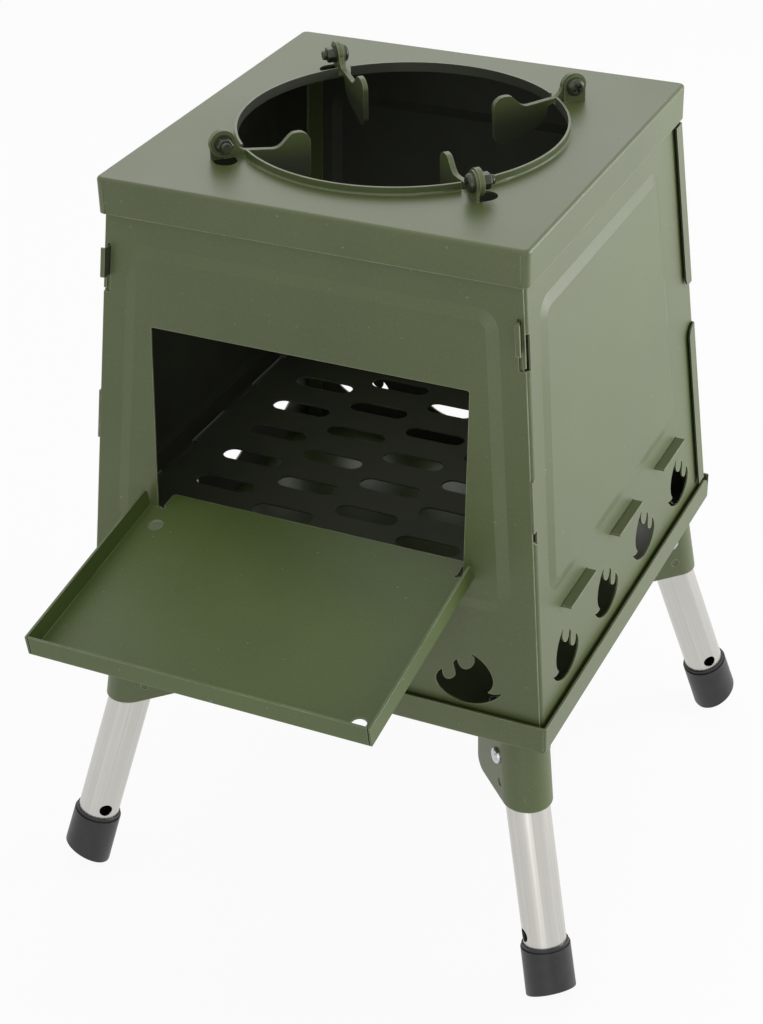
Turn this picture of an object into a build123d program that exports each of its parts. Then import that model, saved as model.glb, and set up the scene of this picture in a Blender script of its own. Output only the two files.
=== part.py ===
from build123d import *
import os
from math import atan, cos, radians, sin, tan

# Folding tent wood stove: four leaning sheet walls stand in a square pan and
# carry a lid with a pot hole. Tube legs fold under the pan, pot supports turn
# on the lid, and a fuel tray hooks in the fire door. Millimetres. The origin
# is on the floor below the middle of the pan, X is right, -Y is the door side.

os.makedirs("parts", exist_ok=True)

# Body. Heights named *_Z count from the underside of the pan.
BODY_HEIGHT = 285.5
BODY_FOOT = 285.0
BODY_HEAD = 236.4
WALL = 1.0
SEAM = 0.12
BEND = 2.6

# Walls: raised fields, flanges and the flat tabs at their side edges.
FIELD_RISE = 1.5
FIELD_BEVEL = 6.7
FIELD_CORNER = 12.0
FRONT_FIELD_INSET = 15.0
FRONT_FIELD_BOTTOM_Z = 79.0
FIELD_TOP_Z = 250.0
SIDE_FIELD_BOTTOM_Z = 83.0
SIDE_FIELD_FRONT_INSET = 18.0
SIDE_FIELD_BACK_INSET = 42.0
FRONT_EDGE_INSET = 1.2
FRONT_FLANGE = 22.0
BACK_FLANGE = 12.0
TAB_BOTTOM_Z = 131.0
TAB_TOP_Z = 160.0
TAB_RELIEF = 7.0
TAB_RELIEF_DROP = 10.5
WRAP = 11.7
WRAP_ROUND = 9.0
WRAP_STAND_OFF = 1.4
WRAP_ABOVE_RIM = 1.2
WRAP_BELOW_LID = 2.5

# Hooks lanced from the side walls and their slots in the front wall.
HOOK_BOTTOM_Z = 229.8
HOOK_TOP_Z = 246.6
HOOK_EDGE = 2.2
HOOK_BLADE = 1.0
HOOK_PROUD = 5.3
HOOK_LIP = 2.6
HOOK_CLEAR = 0.5
SLOT_DROP = 9.8
SLOT_TOP_CLEAR = 1.4
SLOT_MOUTH = 2.0
WINDOW_TOP_DROP = 6.9

# Fire door.
DOOR_WIDTH = 186.0
DOOR_TOP_Z = 204.7
DOOR_CORNER = 1.5

# Flame-shaped vents.
FLAME_PITCH = 65.4
FLAME_SHIFT = -3.0
FLAME_FRONT_Z = 19.3
FLAME_SIDE_Z = 23.4
FLAME_COUNT = 4

# Lid.
LID_SHEET = 1.2
LID_SKIRT = 20.4
LID_CORNER = 4.0
LID_BEND = 2.0
LID_CLEAR = 1.37
POT_HOLE = 181.2
COLLAR_HEIGHT = 4.4
COLLAR_ROOT = 1.2

# Lid ears and the pot supports that turn on them. r counts from the stove's
# axis, t runs counter-clockwise round it.
PIVOT_R = 103.0
PIVOT_RISE = 8.5
EAR_WIDTH = 13.0
EAR_T = -0.7
EAR_SLOT_END_T = 13.0
NOTCH_BEHIND = 2.6
NOTCH_AHEAD = 2.2
SUPPORT_THICK = 3.0
SUPPORT_PLAY = 0.06
SUPPORT_EYE = 7.4
SUPPORT_REST = 0.06
SUPPORT_HANG = 21.0
SUPPORT_CREST = 8.4
SUPPORT_NOSE_R = 54.0
SUPPORT_ARM_ROOM = 3.0
SUPPORT_HEEL_INWARD = 3.1
SUPPORT_HEEL_DROP = 11.0
SUPPORT_TIP_OUTWARD = 1.0
SUPPORT_CREST_LENGTH = 10.5
SUPPORT_DIP_OUTWARD = 18.5
SUPPORT_DIP = 0.8
SUPPORT_NECK_INWARD = 2.1
SUPPORT_NECK = 3.4
SUPPORT_ROUNDS = [3.0, 9.0, 5.0, 6.5, 5.0, 7.0, 6.0]
SCREW = 5.0
SCREW_FIT = 0.05
SCREW_HEAD = 10.2
SCREW_HEAD_THICK = 3.3
SCREW_HEAD_ROUND = 2.3
RECESS_WIDTH = 1.5
RECESS_SPAN = 5.6
RECESS_DEPTH = 1.6
RECESS_TURN = 30.0
WASHER = 10.0
WASHER_THICK = 0.8
NUT_FLATS = 8.0
NUT_THICK = 4.4
NUT_CHAMFER = 0.5
SCREW_TAIL = 2.2

# Grate.
GRATE_TOP_Z = 69.8
GRATE_SHEET = 1.2
GRATE_HALF = 132.5
GRATE_TAB = 39.5
GRATE_TAB_PITCH = 78.5
GRATE_TAB_SHIFT = -4.2
GRATE_TAB_PROUD = 6.0
GRATE_SLOT_LENGTH = 38.8
GRATE_SLOT_WIDTH = 12.5
GRATE_COLUMN_PITCH = 46.0
GRATE_ROW_PITCH = 33.1
GRATE_ROW_SHIFT = 5.6
GRATE_SLOT_ROOM = 0.6
TAB_SIDE_ROOM = 0.8

# Base pan.
PAN_SHEET = 1.2
PAN_RIM = 17.3
PAN_CLEAR = 1.47
PAN_BEND = 2.0
PAN_CORNER = 1.6
PAN_BACK_ROUND = 9.0
PAN_SEAM = 0.8

# Fuel tray. It slopes down to the front and its tongue reaches over the sill.
TRAY_HALF = 99.0
TRAY_Z = 97.1
TRAY_TILT = 8.72
TRAY_LENGTH = 128.0
TRAY_RIM = 13.0
TRAY_SHEET = 1.2
TRAY_BEND = 1.6
TRAY_SEAM = 0.7
TRAY_END_ROUND = 4.0
TRAY_HOLE = 8.3
TRAY_HOLE_INSET = 13.0
TRAY_HOLE_FRONT = 12.0
TRAY_HOLE_BACK = 14.9
TONGUE_HALF = 89.5
TONGUE_LENGTH = 12.3
TONGUE_CHAMFER = 1.5
TRAY_PLAY = 0.12
LIP_HALF = 70.0
LIP_DROP = 10.5
LIP_THICK = 1.2

# Legs, their brackets and foot caps. Every leg stands on a corner diagonal. A
# cap's sole is slanted across the tube, its short side outward.
LEG_SPLAY = 18.8
LEG_PIVOT_R = 172.5
LEG_PIVOT_DROP = 19.3
LEG_TUBE = 25.0
LEG_WALL = 1.2
LEG_ABOVE_PIVOT = 6.5
LEG_SOLE = 148.4
LEG_CROSS_HOLE = 8.0
LEG_CROSS_HOLE_UP = 2.2
CAP_LENGTH = 31.7
CAP_TOP = 28.9
CAP_BOTTOM = 29.5
CAP_SLANT = 17.0
CAP_LIP = 27.2
CAP_LIP_HEIGHT = 2.2
CAP_SOLE_THICK = 7.0
SOLE_FLAT_DEPTH = 1.6
CAP_ROUND = 1.0
CAP_PRESS = 0.02
BRACKET_SHEET = 1.6
BRACKET_SIDE_ROOM = 0.4
BRACKET_BACK_LEAN = 10.0
BRACKET_BACK_ROOM = 0.35
BRACKET_DROP = 46.0
BRACKET_INWARD = 28.0
BRACKET_ROUND = 8.0
BRACKET_DIMPLE_OUTWARD = 4.0
BRACKET_DIMPLE_DROP = 35.5
BRACKET_DIMPLE = 5.0
BRACKET_DIMPLE_DEPTH = 0.5
RIVET = 6.0
RIVET_FIT = 0.05
RIVET_HEAD = 9.6
RIVET_HEAD_THICK = 2.2
RIVET_HEAD_ROUND = 1.8
PAN_RIVET = 4.0
PAN_RIVET_HEAD = 7.0
PAN_RIVET_HEAD_THICK = 1.3
PAN_RIVET_HEAD_ROUND = 0.8
PAN_RIVET_INWARD = 21.5
PAN_RIVET_SIDEWAYS = 7.0
PAN_RIVET_OUTWARD = 9.0

# Sizes that follow from the ones above.
CORNER_NAMES = {"fr": -45.0, "br": 45.0, "bl": 135.0, "fl": 225.0}
splay = radians(LEG_SPLAY)
sole_slope = tan(radians(CAP_SLANT))
longest_side = LEG_SOLE + CAP_BOTTOM / 2 * sole_slope
leg_reach = longest_side * cos(splay) + CAP_BOTTOM / 2 * sin(splay) - SOLE_FLAT_DEPTH
floor_to_pan = LEG_PIVOT_DROP + leg_reach
lean = atan((BODY_FOOT - BODY_HEAD) / 2 / BODY_HEIGHT)
wall_top_z = BODY_HEIGHT - LID_SHEET
layer = (WALL + SEAM) / cos(lean)
lid_z = floor_to_pan + BODY_HEIGHT
level_wall = WALL / cos(lean)
wrap_foot_z = PAN_RIM + WRAP_ABOVE_RIM
wrap_top_z = BODY_HEIGHT - LID_SKIRT - WRAP_BELOW_LID
slot_bottom_z = HOOK_BOTTOM_Z - SLOT_DROP
slot_top_z = HOOK_TOP_Z + SLOT_TOP_CLEAR
door_sill_z = TRAY_Z - TRAY_SHEET / cos(radians(TRAY_TILT)) - TRAY_PLAY
grate_tab_places = [GRATE_TAB_SHIFT + GRATE_TAB_PITCH * k for k in (-1, 0, 1)]
support_t = EAR_T + LID_SHEET + SUPPORT_PLAY
pan_rivet_places = [
    (LEG_PIVOT_R - PAN_RIVET_INWARD, -PAN_RIVET_SIDEWAYS),
    (LEG_PIVOT_R - PAN_RIVET_INWARD, PAN_RIVET_SIDEWAYS),
    (LEG_PIVOT_R + PAN_RIVET_OUTWARD, 0),
]


def half(z):
    """Half the body's outer width at height z above the pan's underside."""
    return BODY_FOOT / 2 - z * tan(lean)


def wall_plane(turn, out=0.0):
    """Plane on a wall's outer face: x right as seen from outside, y up the wall."""
    a = radians(turn)
    face = Plane(
        origin=(BODY_FOOT / 2 * sin(a), -BODY_FOOT / 2 * cos(a), floor_to_pan),
        x_dir=(cos(a), sin(a), 0),
        z_dir=(cos(lean) * sin(a), -cos(lean) * cos(a), sin(lean)),
    )
    return face.offset(out)


def on_wall(x, z):
    """Point on a wall's plane at sideways place x and height z."""
    return (x, z / cos(lean))


def outline(plane, points, radius=0.0):
    """Closed outline through the points, its corners rounded."""
    with BuildSketch(plane) as shape:
        with BuildLine():
            Polyline(*points, close=True)
        make_face()
        if radius > 0:
            fillet(shape.vertices(), radius)
    return shape.sketch


def strip(plane, left, right, bottom_z, top_z, radius=0.0):
    """Wall outline between two heights; left and right give x at a height."""
    corners = [
        on_wall(left(bottom_z), bottom_z),
        on_wall(right(bottom_z), bottom_z),
        on_wall(right(top_z), top_z),
        on_wall(left(top_z), top_z),
    ]
    return outline(plane, corners, radius)


def field_loft(turn, base_out, left_inset, right_inset, bottom_z, top_z, mode=Mode.ADD):
    """Pressed field: a shallow bevelled plate standing on base_out, added or cut."""
    def at(shrink, out):
        return strip(
            wall_plane(turn, out),
            lambda z: -half(z) + left_inset + shrink,
            lambda z: half(z) - right_inset - shrink,
            bottom_z + shrink,
            top_z - shrink,
            FIELD_CORNER - shrink,
        )

    return loft([at(0, base_out), at(FIELD_BEVEL, base_out + FIELD_RISE)], ruled=True, mode=mode)


def flame(plane, x, z, side):
    """One flame-shaped vent; side is 1 or -1 for its mirror image."""
    base_x, base_y = on_wall(x, z)

    def place(*points):
        return [(base_x + side * px, base_y + py) for px, py in points]

    with BuildSketch(plane) as shape:
        with BuildLine():
            ThreePointArc(*place((-19.5, 11.1), (-15.2, 9.2), (-10.9, 9.3)))
            Spline(*place((-10.9, 9.3), (-14.0, 16.0), (-11.0, 24.0), (0.0, 31.1)))
            Spline(*place((0.0, 31.1), (-2.3, 25.2), (1.6, 20.9), (7.6, 25.6)))
            Spline(*place((7.6, 25.6), (9.7, 21.5), (8.6, 14.8), (12.0, 11.9), (16.2, 17.6)))
            Spline(*place((16.2, 17.6), (19.3, 8.0), (8.6, 0.5), (-2.8, 0.0), (-19.5, 11.1)))
        make_face()
    return shape.sketch


def flame_places(shift):
    """Middles of a wall's row of vents."""
    first = shift - FLAME_PITCH * (FLAME_COUNT - 1) / 2
    return [first + FLAME_PITCH * k for k in range(FLAME_COUNT)]


def radial_plane(angle, t=0.0, height=0.0):
    """Upright plane through a corner diagonal: x outward, y up; t shifts it sideways."""
    a = radians(angle)
    return Plane(
        origin=(-t * sin(a), t * cos(a), height),
        x_dir=(cos(a), sin(a), 0),
        z_dir=(sin(a), -cos(a), 0),
    )


def corner_plane(angle):
    """Level plane at the pan's underside: x along a corner diagonal, y along t."""
    a = radians(angle)
    return Plane(origin=(0, 0, floor_to_pan), x_dir=(cos(a), sin(a), 0), z_dir=(0, 0, 1))


def round_off(plane, corner_x, corner_y, radius, side_x, side_y, spare=0.5):
    """What a rounded corner takes away; the sides say which way the corner points."""
    middle_x = corner_x - side_x * radius
    middle_y = corner_y - side_y * radius
    length = radius + spare
    with BuildSketch(plane) as shape:
        with Locations((middle_x + side_x * length / 2, middle_y + side_y * length / 2)):
            Rectangle(length, length)
        with Locations((middle_x, middle_y)):
            Circle(radius, mode=Mode.SUBTRACT)
    return shape.sketch


def save(builder, name):
    """Label a finished piece and write its file."""
    builder.part.label = name
    export_step(builder.part, f"parts/{name}.step")


# Base pan: square tray pressed from sheet. The front corners are closed, the
# back rim is separate and the side rims end there in a rounded corner.
pan_half = half(PAN_SHEET) + PAN_CLEAR + PAN_SHEET
lid_half = half(BODY_HEIGHT - LID_SKIRT) + LID_CLEAR + LID_SHEET
with BuildPart() as base_pan:
    with BuildSketch(Plane.XY.offset(floor_to_pan)):
        RectangleRounded(2 * pan_half, 2 * pan_half, PAN_CORNER)
    extrude(amount=PAN_RIM)
    fillet(base_pan.faces().sort_by(Axis.Z)[0].outer_wire().edges(), PAN_BEND)
    with BuildSketch(Plane.XY.offset(floor_to_pan + PAN_SHEET)):
        RectangleRounded(2 * (pan_half - PAN_SHEET), 2 * (pan_half - PAN_SHEET), PAN_CORNER / 2)
    extrude(amount=PAN_RIM, mode=Mode.SUBTRACT)
    seam_y = pan_half - PAN_SHEET - PAN_SEAM / 2
    with Locations((0, seam_y, floor_to_pan + PAN_RIM / 2 + PAN_BEND)):
        with GridLocations(2 * pan_half - PAN_SHEET, 0, 2, 1):
            Box(2 * PAN_SHEET, PAN_SEAM, PAN_RIM, mode=Mode.SUBTRACT)
    side_end = round_off(
        Plane.YZ, pan_half - PAN_SHEET - PAN_SEAM, floor_to_pan + PAN_RIM, PAN_BACK_ROUND, 1, 1
    )
    extrude(side_end, amount=pan_half, both=True, mode=Mode.SUBTRACT)
    for angle in CORNER_NAMES.values():
        with BuildSketch(corner_plane(angle)):
            with Locations(*pan_rivet_places):
                Circle(PAN_RIVET / 2)
    extrude(amount=PAN_SHEET, mode=Mode.SUBTRACT)
save(base_pan, "base_pan")

# Front wall: raised frame round the fire door, a row of vents below and two
# slots that drop over the side walls' hooks.
def front_edge(z):
    """Side edge of the front wall at height z."""
    return half(z) - FRONT_EDGE_INSET


def hook_x(z, out=0.0):
    """Outer side of the hook's blade at height z, moved outward by out."""
    return front_edge(z) - HOOK_EDGE + out


def front_section(z):
    """Level cut through the front wall at height z."""
    corners = [
        (-front_edge(z), -half(z)),
        (front_edge(z), -half(z)),
        (front_edge(z), -half(z) + level_wall),
        (-front_edge(z), -half(z) + level_wall),
    ]
    return outline(Plane.XY.offset(floor_to_pan + z), corners)


with BuildPart() as front_panel:
    loft([front_section(PAN_SHEET), front_section(wall_top_z)], ruled=True)
    frame = (FRONT_FIELD_INSET, FRONT_FIELD_INSET, FRONT_FIELD_BOTTOM_Z, FIELD_TOP_Z)
    field_loft(0, 0, *frame)
    field_loft(0, -WALL, *frame, mode=Mode.SUBTRACT)
    door = strip(
        wall_plane(0, -2 * WALL),
        lambda z: -DOOR_WIDTH / 2,
        lambda z: DOOR_WIDTH / 2,
        door_sill_z,
        DOOR_TOP_Z,
        DOOR_CORNER,
    )
    extrude(door, amount=2 * WALL + 2 * FIELD_RISE, mode=Mode.SUBTRACT)
    for sign in (-1, 1):
        for inner, outer, low, high in (
            (-HOOK_BLADE - HOOK_CLEAR, HOOK_CLEAR, slot_bottom_z, slot_top_z),
            (0, 2 * HOOK_EDGE, slot_bottom_z, slot_bottom_z + SLOT_MOUTH),
        ):
            slot = strip(
                wall_plane(0, -2 * WALL),
                lambda z: sign * hook_x(z, inner),
                lambda z: sign * hook_x(z, outer),
                low,
                high,
            )
            extrude(slot, amount=3 * WALL, mode=Mode.SUBTRACT)
    for x in flame_places(0):
        vent = flame(wall_plane(0, -2 * WALL), x, FLAME_FRONT_Z, -1 if x > 0 else 1)
        extrude(vent, amount=3 * WALL, mode=Mode.SUBTRACT)
save(front_panel, "front_panel")


# Side walls: the right one is made and the left one is its mirror image. The
# sheet turns in behind the front wall, except at a flat tab, and again
# behind the back wall. Hooks stand forward from the front flange.
def side_section(z):
    """Level cut through the right wall at height z: flange, wall, flange."""
    x = half(z)
    y = half(z) - layer
    with BuildSketch(Plane.XY.offset(floor_to_pan + z)) as cut:
        with BuildLine():
            outer = FilletPolyline(
                (x - FRONT_FLANGE, -y), (x, -y), (x, y), (x - BACK_FLANGE, y), radius=BEND
            )
            inner = FilletPolyline(
                (x - FRONT_FLANGE, -y + level_wall),
                (x - level_wall, -y + level_wall),
                (x - level_wall, y - level_wall),
                (x - BACK_FLANGE, y - level_wall),
                radius=BEND - level_wall,
            )
            Line(outer @ 0, inner @ 0)
            Line(outer @ 1, inner @ 1)
        make_face()
    return cut.sketch


with BuildPart() as right_panel:
    loft([side_section(PAN_SHEET), side_section(wall_top_z)], ruled=True)
    for turn, sign, width in ((0, 1, FRONT_FLANGE), (180, -1, BACK_FLANGE)):
        face = wall_plane(turn, WALL)
        gap = strip(
            face,
            lambda z: sign * (half(z) + BEND),
            lambda z: sign * (half(z) - width - BEND),
            TAB_BOTTOM_Z,
            TAB_TOP_Z,
        )
        relief_x = half(TAB_BOTTOM_Z)
        relief = outline(
            face,
            [
                on_wall(sign * (relief_x + TAB_RELIEF / 2), TAB_BOTTOM_Z),
                on_wall(sign * (relief_x - TAB_RELIEF), TAB_BOTTOM_Z),
                on_wall(sign * (relief_x + TAB_RELIEF / 2), TAB_BOTTOM_Z - TAB_RELIEF_DROP),
            ],
        )
        extrude(gap, amount=-2 * WALL - SEAM - BEND, mode=Mode.SUBTRACT)
        extrude(relief, amount=-2 * WALL - SEAM - BEND, mode=Mode.SUBTRACT)
    tab = strip(
        wall_plane(90), lambda z: -half(z), half, TAB_BOTTOM_Z, TAB_TOP_Z
    )
    extrude(tab, amount=-WALL)
    window = strip(
        wall_plane(0, WALL),
        lambda z: hook_x(z, HOOK_CLEAR),
        lambda z: half(z) + BEND,
        slot_bottom_z,
        HOOK_TOP_Z - WINDOW_TOP_DROP,
    )
    extrude(window, amount=-2 * WALL - SEAM - BEND, mode=Mode.SUBTRACT)
    blade = strip(
        wall_plane(0, HOOK_PROUD),
        lambda z: hook_x(z, -HOOK_BLADE),
        hook_x,
        HOOK_BOTTOM_Z,
        HOOK_TOP_Z,
    )
    extrude(blade, amount=-HOOK_PROUD - 2 * WALL - SEAM)
    lip = strip(
        wall_plane(0, HOOK_PROUD),
        lambda z: hook_x(z, -HOOK_BLADE),
        lambda z: hook_x(z, HOOK_LIP - HOOK_BLADE),
        HOOK_BOTTOM_Z,
        HOOK_TOP_Z,
    )
    extrude(lip, amount=-HOOK_BLADE)
    frame = (SIDE_FIELD_FRONT_INSET, SIDE_FIELD_BACK_INSET, SIDE_FIELD_BOTTOM_Z, FIELD_TOP_Z)
    field_loft(90, 0, *frame)
    field_loft(90, -WALL, *frame, mode=Mode.SUBTRACT)
    for x in flame_places(FLAME_SHIFT):
        extrude(flame(wall_plane(90, WALL), x, FLAME_SIDE_Z, 1), amount=-3 * WALL, mode=Mode.SUBTRACT)
    for y in grate_tab_places:
        with Locations((half(GRATE_TOP_Z), y, floor_to_pan + GRATE_TOP_Z - GRATE_SHEET)):
            Box(
                4 * BEND,
                GRATE_TAB + 2 * TAB_SIDE_ROOM,
                GRATE_SHEET + GRATE_SLOT_ROOM,
                align=(Align.CENTER, Align.CENTER, Align.MIN),
                mode=Mode.SUBTRACT,
            )
save(right_panel, "right_panel")

with BuildPart() as left_panel:
    mirror(right_panel.part, about=Plane.YZ)
save(left_panel, "left_panel")


# Back wall: a plate as high as the side walls. Its side flanges stand off the
# outside of the side walls in two strips.
def back_section(z):
    """Level cut through the back wall at height z: strip, wall, strip."""
    x = half(z) + layer + WRAP_STAND_OFF
    y = half(z)
    with BuildSketch(Plane.XY.offset(floor_to_pan + z)) as cut:
        with BuildLine():
            outer = FilletPolyline((-x, y - WRAP), (-x, y), (x, y), (x, y - WRAP), radius=BEND)
            inner = FilletPolyline(
                (-x + level_wall, y - WRAP),
                (-x + level_wall, y - level_wall),
                (x - level_wall, y - level_wall),
                (x - level_wall, y - WRAP),
                radius=BEND - level_wall,
            )
            Line(outer @ 0, inner @ 0)
            Line(outer @ 1, inner @ 1)
        make_face()
    return cut.sketch


def back_plate_section(z):
    """Level cut through the back wall where it has no strips."""
    x = half(z) - BEND
    corners = [(-x, half(z)), (x, half(z)), (x, half(z) - level_wall), (-x, half(z) - level_wall)]
    return outline(Plane.XY.offset(floor_to_pan + z), corners)


wrap_cut = WRAP_STAND_OFF + 3 * WALL
with BuildPart() as back_panel:
    loft([back_section(wrap_foot_z), back_section(wrap_top_z)], ruled=True)
    for low_z, high_z in ((PAN_SHEET, wrap_foot_z), (wrap_top_z, wall_top_z)):
        loft([back_plate_section(low_z), back_plate_section(high_z)], ruled=True)
    for turn in (90, -90):
        sign = 1 if turn > 0 else -1
        face = wall_plane(turn, wrap_cut)
        gap = strip(
            face,
            lambda z: sign * (half(z) + 2 * WALL),
            lambda z: sign * (half(z) - WRAP - WALL),
            TAB_BOTTOM_Z,
            TAB_TOP_Z,
        )
        extrude(gap, amount=-2 * wrap_cut, mode=Mode.SUBTRACT)
        low_x, low_y = on_wall(half(TAB_BOTTOM_Z) - WRAP, TAB_BOTTOM_Z)
        shoulder = round_off(face, sign * low_x, low_y, WRAP_ROUND, -sign, 1)
        extrude(shoulder, amount=-wrap_cut, mode=Mode.SUBTRACT)
        high_x, high_y = on_wall(half(TAB_TOP_Z) - WRAP, TAB_TOP_Z)
        point = round_off(face, sign * high_x, high_y, WRAP_ROUND / 2, -sign, -1)
        extrude(point, amount=-wrap_cut, mode=Mode.SUBTRACT)
    frame = (SIDE_FIELD_FRONT_INSET, SIDE_FIELD_FRONT_INSET, SIDE_FIELD_BOTTOM_Z, FIELD_TOP_Z)
    field_loft(180, 0, *frame)
    field_loft(180, -WALL, *frame, mode=Mode.SUBTRACT)
    for x in flame_places(0):
        vent = flame(wall_plane(180, WALL), x, FLAME_SIDE_Z, -1 if x > 0 else 1)
        extrude(vent, amount=-3 * WALL, mode=Mode.SUBTRACT)
save(back_panel, "back_panel")

# Grate: flat plate with staggered slots, held by three tabs at each side.
with BuildPart() as grate:
    with BuildSketch(Plane.XY.offset(floor_to_pan + GRATE_TOP_Z)):
        Rectangle(2 * GRATE_HALF, 2 * GRATE_HALF)
        for y in grate_tab_places:
            with Locations((0, y)):
                Rectangle(2 * (half(GRATE_TOP_Z) + GRATE_TAB_PROUD), GRATE_TAB)
        with Locations((0, GRATE_ROW_SHIFT)):
            with GridLocations(2 * GRATE_COLUMN_PITCH, GRATE_ROW_PITCH, 3, 5):
                SlotOverall(GRATE_SLOT_LENGTH, GRATE_SLOT_WIDTH, mode=Mode.SUBTRACT)
            with GridLocations(2 * GRATE_COLUMN_PITCH, GRATE_ROW_PITCH, 2, 6):
                SlotOverall(GRATE_SLOT_LENGTH, GRATE_SLOT_WIDTH, mode=Mode.SUBTRACT)
    extrude(amount=-GRATE_SHEET)
save(grate, "grate")

# Lid: pressed square cap with a collared pot hole. Each ear is cut free and
# bent up, which leaves a D-shaped slot beside it, and the collar is notched
# where a pot support passes.
def lid_shape(inset):
    """Solid inside the lid's skin, inset from its outer faces."""
    with BuildPart() as block:
        with BuildSketch(Plane.XY.offset(lid_z - inset)):
            RectangleRounded(2 * (lid_half - inset), 2 * (lid_half - inset), LID_CORNER - inset)
        extrude(amount=-LID_SKIRT)
        fillet(block.faces().sort_by(Axis.Z)[-1].outer_wire().edges(), LID_BEND - inset)
    return block.part


ear_front_t = EAR_T + LID_SHEET
slot_straight = EAR_SLOT_END_T - EAR_WIDTH / 2 - ear_front_t
with BuildPart() as lid:
    add(lid_shape(0))
    add(lid_shape(LID_SHEET), mode=Mode.SUBTRACT)
    with BuildSketch(Plane.XY.offset(lid_z - LID_SHEET)):
        Circle(POT_HOLE / 2 + LID_SHEET)
    extrude(amount=LID_SHEET + COLLAR_HEIGHT)
    collar_root = lid.edges().filter_by(GeomType.CIRCLE).filter_by(
        lambda e: abs(e.radius - POT_HOLE / 2 - LID_SHEET) < 0.01 and e.center().Z < lid_z + 0.1
    ).sort_by(Axis.Z)[-1]
    fillet(collar_root, COLLAR_ROOT)
    with BuildSketch(Plane.XY.offset(lid_z + COLLAR_HEIGHT)):
        Circle(POT_HOLE / 2)
    extrude(amount=-COLLAR_HEIGHT - LID_SHEET, mode=Mode.SUBTRACT)
    for angle in CORNER_NAMES.values():
        notch = outline(
            radial_plane(angle, support_t - NOTCH_BEHIND, lid_z),
            [
                (POT_HOLE / 2 - LID_SHEET, 0),
                (POT_HOLE / 2 + 3 * LID_SHEET, 0),
                (POT_HOLE / 2 + 3 * LID_SHEET, 2 * COLLAR_HEIGHT),
                (POT_HOLE / 2 - LID_SHEET, 2 * COLLAR_HEIGHT),
            ],
        )
        extrude(notch, amount=-NOTCH_BEHIND - SUPPORT_THICK - NOTCH_AHEAD, mode=Mode.SUBTRACT)
        with BuildSketch(corner_plane(angle).offset(BODY_HEIGHT)) as ear_slot:
            with Locations((PIVOT_R, ear_front_t + slot_straight / 2)):
                Rectangle(EAR_WIDTH, slot_straight)
            with Locations((PIVOT_R, ear_front_t + slot_straight)):
                Circle(EAR_WIDTH / 2)
            with Locations((PIVOT_R, EAR_T)):
                Rectangle(2 * EAR_WIDTH, 2 * LID_SHEET, mode=Mode.SUBTRACT)
        extrude(ear_slot.sketch, amount=-2 * LID_SHEET, mode=Mode.SUBTRACT)
        with BuildSketch(radial_plane(angle, EAR_T, lid_z)) as ear:
            with Locations((PIVOT_R, (PIVOT_RISE - LID_SHEET) / 2)):
                Rectangle(EAR_WIDTH, PIVOT_RISE + LID_SHEET)
            with Locations((PIVOT_R, PIVOT_RISE)):
                Circle(EAR_WIDTH / 2)
                Circle(SCREW / 2, mode=Mode.SUBTRACT)
        extrude(ear.sketch, amount=-LID_SHEET)
save(lid, "lid")

# Pot supports: flat plates that turn on the ears' screws. Their arm rests on
# the lid inside the ear, their blade hangs in the pot hole and their crest
# carries the pot.
arm_r = POT_HOLE / 2 - SUPPORT_ARM_ROOM
blade_corners = [
    (arm_r, SUPPORT_REST),
    (arm_r - SUPPORT_HEEL_INWARD, -SUPPORT_HEEL_DROP),
    (SUPPORT_NOSE_R + SUPPORT_TIP_OUTWARD, -SUPPORT_HANG),
    (SUPPORT_NOSE_R, SUPPORT_CREST),
    (SUPPORT_NOSE_R + SUPPORT_CREST_LENGTH, SUPPORT_CREST),
    (SUPPORT_NOSE_R + SUPPORT_DIP_OUTWARD, SUPPORT_DIP),
    (PIVOT_R - SUPPORT_EYE - SUPPORT_NECK_INWARD, SUPPORT_NECK),
]


def support_outline(angle, t):
    """Side view of a pot support on its corner's upright plane."""
    eye = (PIVOT_R, PIVOT_RISE)
    arm_foot = (PIVOT_R, SUPPORT_REST)
    arm_top = (PIVOT_R - SUPPORT_EYE, PIVOT_RISE)
    with BuildSketch(radial_plane(angle, t, lid_z)) as shape:
        with BuildLine():
            FilletPolyline(arm_foot, *blade_corners, arm_top, radius=SUPPORT_ROUNDS)
            Polyline(arm_top, eye, arm_foot)
        make_face()
        with Locations(eye):
            Circle(SUPPORT_EYE)
            Circle(SCREW / 2 + SCREW_FIT, mode=Mode.SUBTRACT)
    return shape.sketch


for name, angle in CORNER_NAMES.items():
    with BuildPart() as support:
        extrude(support_outline(angle, support_t), amount=-SUPPORT_THICK)
    save(support, f"pot_support_{name}")

# Screw stacks: each pan head screw runs through ear, support, washer and nut.
washer_t = support_t + SUPPORT_THICK + SUPPORT_PLAY
nut_t = washer_t + WASHER_THICK
def pivot_plane(angle, t):
    """Plane across a support's screw; its normal points clockwise, to the head."""
    upright = radial_plane(angle, t, lid_z + PIVOT_RISE)
    return Plane(
        origin=upright.origin + PIVOT_R * upright.x_dir, x_dir=upright.x_dir, z_dir=upright.z_dir
    )


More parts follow.
